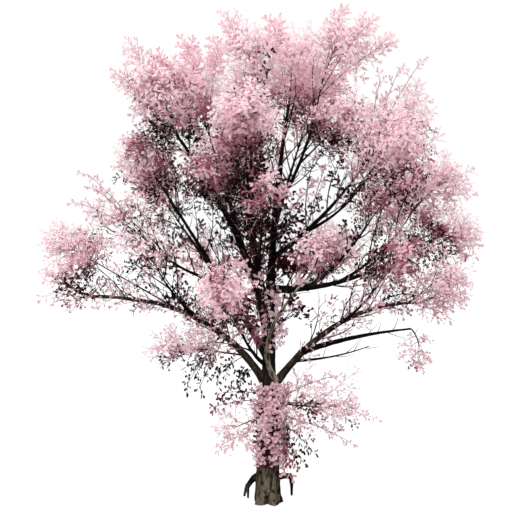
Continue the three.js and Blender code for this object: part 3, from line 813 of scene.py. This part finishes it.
def add_bough(name, material):
    """A bough with its bark."""
    limb = limbs[name]
    shape = bark_shape()
    rings = max(FEWEST_RINGS, round(limb.length / RING_PITCH))
    sides = THICK_SIDES if limb.radius_at(0.3) > THICK_BOUGH else THIN_SIDES
    verts = stand_bar(shape, sides, rings)
    bend_bar(shape, verts, limb.line, rings, lambda share, angle: limb.radius_at(share), BOUGH_RELIEF)
    add_bark(name, shape, material)


class Growth:
    """What grows on a limb: bars of wood by their kind, and blossoms."""

    def __init__(self, seed, middle, reach):
        self.random = random.Random(seed)
        self.middle = Vector(middle)
        self.reach = Vector(reach)
        self.bars = {kind: [] for kind in BAR_KINDS}
        self.blossoms = []

    def between(self, ends):
        return self.random.uniform(*ends)

    def places(self, first, last, count):
        """Numbers and shares of places along a stretch of a limb, evenly spaced but a little shaken."""
        for i in range(count):
            yield i, lerp(first, last, (i + self.between(SHAKE)) / count)

    def outward(self, place):
        """The way out of the growth's own space at a place."""
        return Vector(a / b ** 2 for a, b in zip(place - self.middle, self.reach)).normalized()

    def add_bar(self, kind, line, foot, tip):
        self.bars[kind].append((*line.start, *line.control, *line.end, foot, tip))

    def add_blossom(self, place, facing, width, closing, tint):
        self.blossoms.append((*place, *facing, width, closing, tint, self.between(FULL_TURN)))


def grow_blossoms(growth, sprig, tint, richness, size):
    """Blossoms and a few buds along a sprig, facing outwards and a little up."""
    for share in SPRIG_BLOSSOMS:
        if growth.random.random() > richness:
            continue
        outward = growth.outward(sprig.point(share))
        facing = leaning(outward, growth.between(BLOSSOM_LEAN), growth.between(FULL_TURN))
        facing = (facing + BLOSSOM_LIFT * UP).normalized()
        bud = growth.random.random() < BUD_SHARE
        width = size * growth.between(BLOSSOM_WIDTH) * (BUD_WIDTH if bud else 1)
        closing = BUD_CLOSING if bud else growth.between(BLOSSOM_CLOSING)
        place = sprig.point(share) + facing * STALK
        growth.add_blossom(place, facing, width, closing, tint)


def grow_spray(growth, root, way, length, tint, richness=1, size=1):
    """A shoot, its sprigs by the golden angle, longest about its middle, and their blossoms."""
    sag = growth.between(SHOOT_SAG)
    shoot = bowed(root, root + way * length, UP * sag * length)
    growth.add_bar("shoot", shoot, SHOOT_RADIUS, 0.5 * SHOOT_RADIUS)
    count = max(FEWEST_SPRIGS, round(SPRIGS * length / SPRAY_LENGTH))
    roll = growth.between(FULL_TURN)
    for i in range(count):
        share = lerp(*SPRIG_SHARES, i / (count - 1))
        opening = lerp(*SPRIG_OPENINGS, share)
        heading = leaning(shoot.heading(share), opening, roll + GOLDEN_ANGLE * i)
        roundness = math.sqrt(1 - ((share - WIDEST_SHARE) / HALF_SPRAY) ** 2)
        reach = SPRIG_REACH * length * roundness * growth.between(SPRIG_SPREAD)
        foot = shoot.point(share)
        tip = foot + heading * reach
        sprig = bowed(foot, tip, UP * SPRIG_BOW * reach)
        growth.add_bar("sprig", sprig, SPRIG_RADIUS, 0)
        grow_blossoms(growth, sprig, tint, richness, size)


def depth_in(place, middle, reach):
    """How far a place is from the middle of a space, as a share of the space's reach that way."""
    return Vector((a - b) / c for a, b, c in zip(place, middle, reach)).length


def tint_of(growth, mass, place, way):
    """The petal tint of a spray: pale on the light's side, painted shade below, within the crown and in its
    gaps.
    """
    share = mass.shares(place - mass.middle)
    depth = depth_in(place, SHADE_HEART, SHADE_REACH)
    within = min(1, 2 * max(0, 1 - depth))
    below = lerp(*BELOW_SHADES, within) * max(0, -share.dot(LIGHT_SIDE))
    innerness = -share.x * mass.middle.x / CROWN_REACH[0] - share.y * mass.middle.y / CROWN_REACH[1]
    inward = INNER_SHADE * within * max(0, innerness)
    pocket = POCKET_SHADE * within * max(0, noise.noise(place / POCKET) - POCKET_START)
    outward = (place - Vector(SHADE_HEART)).normalized()
    nook = NOOK_SHADE * max(0, noise.noise(NOOKS * outward) - NOOK_START)
    nook = min(DEEPEST_NOOK, nook * max(0, NOOK_FADE - depth))
    hollow = HOLLOW_SHADE * max(0, 1 - min(depth_in(place, *hollow) for hollow in HOLLOWS))
    shade = START_SHADE + max(below, inward) + max(pocket, nook, hollow) - FACING_SHADE * way.dot(LIGHT_SIDE)
    shade += growth.between(SHADE_SHAKE)
    return min(len(PETAL_TINTS) - 1, max(0, round(shade)))


def grow_twig(growth, mass, foot, heading, length):
    """A twig with sprays along it and one on its tip, none of them past the mass's outside."""
    side = leaning(heading, QUARTER_TURN, growth.between(FULL_TURN))
    line = bowed(foot, foot + heading * length, (TWIG_BOW * UP + TWIG_BOW * side) * length)
    growth.add_bar("twig_painted_light", line, TWIG_RADIUS, TWIG_TAPER * TWIG_RADIUS)
    count = max(2, round(length / SPRAY_PITCH))
    shares = [lerp(*SPRAY_SHARES, (i + 0.5) / count) for i in range(count)]
    openings = [lerp(*SPRAY_OPENINGS, i / count) for i in range(count)]
    roll = growth.between(FULL_TURN)
    for i, (share, opening) in enumerate([*zip(shares, openings), TIP_SPRAY]):
        root = line.point(share)
        way = leaning(line.heading(share), opening, roll + GOLDEN_ANGLE * i)
        way = (way + SPRAY_LIFT * UP).normalized()
        room = SPRAY_ROOM * mass.room_ahead(root, way)
        length = min(SPRAY_LENGTH * math.sqrt(mass.size) * growth.between(SPRAY_SPREAD), room)
        if length > SHORTEST_SPRAY:
            middle = root + way * 0.5 * length
            depth = mass.depth(middle)
            richness = float(np.interp(depth, RICHNESS_DEPTHS, RICHNESS))
            size = lerp(1, EDGE_WIDTH, depth)
            grow_spray(growth, root, way, length, tint_of(growth, mass, middle, way), richness, size)


def stem_line(mass):
    """The line of a mass's stem: from its limb through its middle towards its far side."""
    line = limbs[mass.limb].line
    start = line.point(mass.at)
    inward = ((mass.middle - start).normalized() + STEM_LIFT * UP).normalized()
    far = mass.middle + STEM_REACH * Vector(a * b for a, b in zip(inward, mass.reach))
    onward = line.heading(1) * STEM_BOW * (far - start).length if mass.at == 1 else Vector((0, 0, 0))
    return bowed(start, far, onward)


def grow_mass(mass, seed):
    """A mass's stem, its twigs by the golden angle, and their sprays."""
    growth = Growth(seed, mass.middle, mass.reach)
    stem = stem_line(mass)
    root = limbs[mass.limb].radius_at(1) if mass.at == 1 else STEM_RADIUS
    growth.add_bar("stem", stem, root, STEM_TIP)
    shares = [i / STEM_STEPS for i in range(STEM_STEPS + 1)]
    entered = next(share for share in shares if mass.depth(stem.point(share)) < ENTERED)
    count = max(FEWEST_TWIGS, round(TWIGS * mass.fullness * mass.size ** 2))
    for i in range(count):
        share = lerp(entered, 1, (i + 0.6) / count)
        foot = stem.point(share)
        within = (share - entered) / (1 - entered)
        opening = lerp(WIDE_ANGLE, NARROW_ANGLE, within)
        heading = leaning(stem.heading(share), opening, GOLDEN_ANGLE * i + growth.between(TWIG_ROLL))
        heading = (heading + UPWARD_PULL * UP).normalized()
        room = mass.room_ahead(foot, heading) * lerp(*TWIG_SHARES, growth.random.random() ** TWIG_SPREAD)
        length = max(room - 0.7 * SPRAY_LENGTH, SHORTEST_TWIG)
        grow_twig(growth, mass, foot, heading, length)
    return growth


def crooked(growth, foot, heading, length):
    """A line that leaves its foot along a heading and bows to a side by chance."""
    side = leaning(heading, QUARTER_TURN, growth.between(FULL_TURN))
    return bowed(foot, foot + heading * length, SIDE_BOW * length * side)


def grow_spur(growth, foot, heading, length, bare):
    """A short twig, bare or with a small spray on it, more often painted shade the deeper it is in the crown.
    """
    line = crooked(growth, foot, heading, length)
    growth.add_bar("twig", line, SPUR_RADIUS, THIN_TAPER * SPUR_RADIUS)
    if not bare:
        shaded = growth.random.random() < 2 * (SPUR_SHADE - depth_in(line.end, SHADE_HEART, SHADE_REACH))
        tint = growth.random.choice(SHADED_TINTS if shaded else OPEN_TINTS)
        grow_spray(growth, line.point(SPRAY_FOOT), line.heading(1), SPUR_SPRAY, tint)


def grow_branches(growth, limb):
    """Thin side branches along a bough by the golden angle, and the spurs on them."""
    for i, share in growth.places(*BRANCH_SHARES, round(limb.length / BRANCH_PITCH)):
        heading = leaning(limb.line.heading(share), growth.between(BRANCH_ANGLE), GOLDEN_ANGLE * i)
        heading = (heading + BRANCH_LIFT * UP).normalized()
        length = growth.between(BRANCH_LENGTH) * lerp(1, BRANCH_SHRINK, share)
        line = crooked(growth, limb.line.point(share), heading, length)
        growth.add_bar("stem", line, BRANCH_RADIUS, THIN_TAPER * BRANCH_RADIUS)
        for j in range(BRANCH_SPURS):
            place = lerp(*BRANCH_SPUR_SHARES, (j + 0.5) / BRANCH_SPURS)
            way = leaning(line.heading(place), growth.between(BRANCH_SPUR_ANGLE), GOLDEN_ANGLE * j)
            length = growth.between(BRANCH_SPUR_LENGTH)
            grow_spur(growth, line.point(place), way, length, growth.random.random() < BARE_BRANCHES)


def grow_lone_twigs(growth, twigs, first, sprays, length):
    """Arched twigs that stand alone, each with sprays from a share of it to its tip."""
    for name, share, tip, tint in twigs:
        foot = limbs[name].line.point(share)
        line = Line(foot, foot.lerp(Vector(tip), 0.5) + LONE_ARCH * (foot - Vector(tip)).length * UP, tip)
        growth.add_bar("stem", line, *LONE_RADII)
        for i in range(sprays):
            place = lerp(first, 1, i / (sprays - 1))
            way = leaning(line.heading(place), growth.between(LONE_ANGLE), GOLDEN_ANGLE * i)
            grow_spray(growth, line.point(place), way, length, tint)


def grow_spurs(growth, name):
    """Short twigs along a limb by the golden angle, some of them bare and the rest with a small spray."""
    limb = limbs[name]
    first, last, pitch = SPURS.get(name, USUAL_SPURS)
    for i, share in growth.places(first, last, int(limb.length * (last - first) / pitch)):
        heading = leaning(limb.line.heading(share), growth.between(SPUR_ANGLE), GOLDEN_ANGLE * i)
        heading = (heading + SPUR_LIFT * UP).normalized()
        length = growth.between(SPUR_LENGTH) + limb.radius_at(share)
        bare = name in BARE_LIMBS or growth.random.random() < BARE_SPURS
        grow_spur(growth, limb.line.point(share), heading, length, bare)


def grow_tufts(growth):
    """Small sprays, mostly in the palest tints as painted light, laid close along a limb's front-right side
    by the golden angle.
    """
    for name, first, last, pitch in TUFTS:
        limb = limbs[name]
        for i, share in growth.places(first, last, int(limb.length * (last - first) / pitch)):
            heading = limb.line.heading(share)
            outward = leaning(heading, QUARTER_TURN, GOLDEN_ANGLE * i)
            if outward.dot(TUFT_SIDE) < TUFT_FACING:
                continue
            foot = limb.line.point(share)
            tip = foot + outward * (growth.between(TUFT_LENGTH) + limb.radius_at(share))
            growth.add_bar("twig", bowed(foot, tip, TUFT_BOW * UP), SPUR_RADIUS, TUFT_TAPER * SPUR_RADIUS)
            way = leaning(heading, growth.between(TUFT_ANGLE), GOLDEN_ANGLE * i)
            grow_spray(growth, tip, way, TUFT_SPRAY, growth.random.choice(TUFT_TINTS))


def corners_and_faces(shape):
    """A shape's corners, and its triangles as numbers of corners."""
    bmesh.ops.triangulate(shape, faces=shape.faces)
    shape.verts.index_update()
    corners = np.array([vert.co[:] for vert in shape.verts])
    faces = np.array([[vert.index for vert in face.verts] for face in shape.faces])
    shape.free()
    return corners, faces


def unit_bar(kind):
    """The corners and faces of one standing bar of a kind."""
    sides, steps, pointed = BAR_KINDS[kind]
    shape = bmesh.new()
    stand_bar(shape, sides, steps, 0 if pointed else 1)
    return corners_and_faces(shape)


def unit_blossom(cup, spread):
    """The corners and faces of a blossom of radius 1: folded petals lifted by the cup, and the heart."""
    shape = bmesh.new()
    lift, reach = math.sin(cup), math.cos(cup)
    foot = shape.verts.new((PETAL_FOOT, 0, 0))
    left = shape.verts.new((PETAL_WAIST * reach, spread, PETAL_WAIST * lift + PETAL_FOLD))
    right = shape.verts.new((PETAL_WAIST * reach, -spread, PETAL_WAIST * lift + PETAL_FOLD))
    tip = shape.verts.new((reach, 0, lift))
    shape.faces.new((foot, tip, left))
    shape.faces.new((foot, right, tip))
    petal = shape.verts[:] + shape.edges[:] + shape.faces[:]
    bmesh.ops.spin(shape, geom=petal, cent=(0, 0, 0), axis=(0, 0, 1), steps=PETALS - 1, use_duplicate=True,
                   angle=math.tau * (PETALS - 1) / PETALS)
    petal_faces = len(shape.faces)
    heart = bmesh.ops.create_circle(shape, cap_ends=True, segments=3, radius=HEART_RADIUS)
    bmesh.ops.translate(shape, verts=heart["verts"], vec=(0, 0, HEART_LIFT))
    return *corners_and_faces(shape), petal_faces


def rows(numbers, width):
    """A list of rows as an array, also where it is empty."""
    return np.array(numbers, float).reshape(-1, width)


def unit(vectors):
    """Vectors at length 1."""
    return vectors / np.linalg.norm(vectors, axis=-1, keepdims=True)


def square_to(headings):
    """Two directions square to each heading and to each other."""
    steep = np.abs(headings[:, 2:]) > 0.9
    level = np.where(steep, [[1.0, 0, 0]], [[0, 0, 1.0]])
    side = unit(np.cross(level, headings))
    return side, np.cross(headings, side)


def bent_bars(numbers, corners):
    """The corners of many bars, each bent along its own line."""
    start, control, end, foot, tip = np.split(numbers, [3, 6, 9, 10], axis=1)
    side, across = square_to(unit(end - start))
    share = corners[None, :, 2:]
    rest = 1 - share
    middle = rest ** 2 * start[:, None] + 2 * share * rest * control[:, None] + share ** 2 * end[:, None]
    radius = foot[:, None] * rest + tip[:, None] * share
    return middle + radius * (corners[None, :, :1] * side[:, None] + corners[None, :, 1:2] * across[:, None])


def joined_mesh(name, groups, materials):
    """One mesh from groups of copies: each copy has its own corners and the faces of its group."""
    points = np.concatenate([copies.reshape(-1, 3) for copies, faces in groups])
    triangles = []
    first = 0
    for copies, faces in groups:
        firsts = first + np.arange(len(copies)) * copies.shape[1]
        triangles.append((firsts[:, None, None] + faces[None]).reshape(-1, 3))
        first += copies.shape[0] * copies.shape[1]
    mesh = bpy.data.meshes.new(name)
    mesh.from_pydata(points.tolist(), [], np.concatenate(triangles).tolist())
    for material in materials:
        mesh.materials.append(material)
    return mesh


def twig_mesh(name, growth, materials):
    """All the wood of a growth as one mesh: near-black bark, painted shade, on the stem and twig bars, and
    pale shoot skin, partly painted light, on the rest.
    """
    groups = []
    paints = []
    for kind, bars in growth.bars.items():
        corners, faces = unit_bars[kind]
        groups.append((bent_bars(rows(bars, 11), corners), faces))
        paints.append(np.full(len(bars) * len(faces), kind not in ("stem", "twig"), np.int32))
    mesh = joined_mesh(name, groups, materials)
    mesh.polygons.foreach_set("material_index", np.concatenate(paints))
    mesh.shade_smooth()
    return mesh


def clear_of_limbs(places):
    """True for each place that lies outside every limb by the clearance."""
    clear = np.ones(len(places), bool)
    for limb in limbs.values():
        shares = np.linspace(0, 1, max(FEWEST_MIDDLES, round(limb.length / LIMB_PITCH)))
        middles = np.array([limb.line.point(share) for share in shares])
        radii = np.array([limb.radius_at(share) for share in shares])
        apart = np.linalg.norm(places[:, None] - middles[None], axis=2)
        clear &= (apart > radii[None] + LIMB_CLEARANCE).all(axis=1)
    return clear


def blossom_mesh(name, growth, materials):
    """All the blossoms of a growth as one mesh, with the petals of a spray in its tint of painted light and
    shade.
    """
    numbers = rows(growth.blossoms, 10)
    numbers = numbers[clear_of_limbs(numbers[:, :3])]
    place, facing, width, closing, tint, turn = np.split(numbers, [3, 6, 7, 8, 9], axis=1)
    (wide, faces, petal_faces), (shut, _, _) = unit_blossoms
    side, across = square_to(facing)
    turned_side = side * np.cos(turn) + across * np.sin(turn)
    turned_across = across * np.cos(turn) - side * np.sin(turn)
    shapes = wide[None] * (1 - closing[:, :, None]) + shut[None] * closing[:, :, None]
    copies = shapes[:, :, :1] * turned_side[:, None] + shapes[:, :, 1:2] * turned_across[:, None]
    copies = place[:, None] + (copies + shapes[:, :, 2:] * facing[:, None]) * width[:, :, None] / 2
    mesh = joined_mesh(name, [(copies, faces)], materials)
    paints = np.full((len(numbers), len(faces)), len(PETAL_TINTS))
    paints[:, :petal_faces] = tint
    mesh.polygons.foreach_set("material_index", paints.ravel().astype(np.int32))
    return mesh


def add_growth(growth, wood, blossom, *nodes):
    """Adds the wood and the blossoms of a growth, each as one piece."""
    add_piece(wood, twig_mesh(wood, growth, twig_shade_and_light), "bark", *nodes)
    add_piece(blossom, blossom_mesh(blossom, growth, petals), "blossom", *nodes)


def add_light(name, energy, angle, towards):
    """A soft light from far off."""
    light = bpy.data.lights.new(name, "SUN")
    light.energy = energy
    light.angle = angle
    lamp = bpy.data.objects.new(name, light)
    lamp.rotation_euler = Vector(towards).to_track_quat("-Z", "Y").to_euler()
    bpy.context.scene.collection.objects.link(lamp)


def add_world():
    """A white backdrop for the camera, and for everything else a soft light from above."""
    world = bpy.data.worlds.new("studio")
    tree = empty_tree(world)
    seen = add(tree, "LightPath").outputs["Is Camera Ray"]
    direction = add(tree, "SeparateXYZ", links={0: add(tree, "TexCoord").outputs["Generated"]})
    height = add(tree, "MapRange", {1: -0.3, 2: 0.6, 3: 0, 4: AMBIENT}, {0: direction.outputs["Z"]})
    backdrop = add(tree, "Background", {"Color": (1, 1, 1, 1), "Strength": 1})
    soft = add(tree, "Background", {"Color": linear("#F4F6FA")}, {"Strength": height.outputs[0]})
    shader = add(tree, "MixShader", links={0: seen, 1: soft.outputs[0], 2: backdrop.outputs[0]})
    add(tree, "OutputWorld", links={"Surface": shader.outputs[0]})
    bpy.context.scene.world = world


def add_floor():
    """A pale, evenly bright floor that throws no light back on the tree."""
    material, tree = new_material("pale_floor")
    shader = add(tree, "BsdfPrincipled", {"Base Color": linear("#3C3C3C"), "Roughness": 0.9,
                                          "Emission Color": (1, 1, 1, 1), "Emission Strength": 0.96})
    add(tree, "OutputMaterial", links={"Surface": shader.outputs[0]})
    shape = bmesh.new()
    bmesh.ops.create_grid(shape, x_segments=1, y_segments=1, size=FLOOR_SIZE)
    mesh = bpy.data.meshes.new("floor")
    shape.to_mesh(mesh)
    shape.free()
    mesh.materials.append(material)
    floor = bpy.data.objects.new("floor", mesh)
    floor.visible_diffuse = False
    floor.visible_glossy = False
    bpy.context.scene.collection.objects.link(floor)


def add_camera():
    """The camera at the photograph's viewing angle."""
    data = bpy.data.cameras.new("camera")
    data.angle = CAMERA_ANGLE
    camera = bpy.data.objects.new("camera", data)
    camera.location = CAMERA_PLACE
    aim = Vector(CAMERA_AIM) - Vector(CAMERA_PLACE)
    camera.rotation_euler = aim.to_track_quat("-Z", "Y").to_euler()
    bpy.context.scene.collection.objects.link(camera)
    bpy.context.scene.camera = camera


lay_out_limbs()
unit_bars = {kind: unit_bar(kind) for kind in BAR_KINDS}
unit_blossoms = (unit_blossom(*OPEN_BLOSSOM), unit_blossom(*SHUT_BLOSSOM))
# The barks are lit and shaded copies: the trunk's darkens with height as painted shade of the crown, the
# boughs' is near-black painted shade, the low boughs' carries less painted shade, and the front stem's is
# paler, partly its own smoother bark and partly painted light.
trunk_wood = peach_bark("peach_trunk_bark", "#221B15", "#706554", "#B4A893", 0.9)
shaded_bough_wood = peach_bark("peach_bough_bark_painted_shade", "#020201", "#0B0907", "#3A332C", 0)
half_shaded_bough_wood = peach_bark("peach_low_bough_bark_half_shade", "#0A0806", "#4A4236", "#8A806E", 0)
lit_stem_wood = peach_bark("peach_stem_bark_painted_light", "#7A6F5E", "#C0B59F", "#D5CBB6", 0)
other_wood = {"front_stem": lit_stem_wood, "right_low_bough": half_shaded_bough_wood, "left_low_bough": half_shaded_bough_wood}
# Near-black twig bark is painted shade, and the pale pink shoot skin is partly painted light.
twig_shade_and_light = [
    young_bark("peach_twig_bark_painted_shade", "#0C0807", "#261C17"),
    young_bark("peach_shoot_skin_painted_light", "#B98A8E", "#DDB8BC"),
]
petals = [petal_skin(f"petal_{i + 1}", tint) for i, tint in enumerate(PETAL_TINTS)]
petals.append(petal_skin("blossom_heart", HEART))

add_trunk(trunk_wood)
for name in BOUGHS:
    add_bough(name, other_wood.get(name, shaded_bough_wood))
for i, (name, mass) in enumerate(masses.items()):
    add_growth(grow_mass(mass, MASS_SEED + SEED_STEP * i), name + "_twigs", name + "_blossom", name)
tufts = Growth(TUFT_SEED, TRUNK_HEART, TRUNK_REACH)
grow_tufts(tufts)
grow_lone_twigs(tufts, LONE_TWIGS, *LONE_SPRAYS)
grow_lone_twigs(tufts, LOBES, *LOBE_SPRAYS)
spurs = Growth(SPUR_SEED, CROWN_HEART, CROWN_REACH)
for name in BOUGHS:
    grow_spurs(spurs, name)
    if name not in TIPS:
        grow_branches(spurs, limbs[name])
add_growth(tufts, "trunk_spurs", "trunk_spur_blossom")
add_growth(spurs, "bough_spurs", "bough_spur_blossom")

add_world()
add_floor()
add_light("key", **KEY)
add_light("fill", **FILL)
add_camera()
bpy.context.scene.view_settings.view_transform = "Standard"
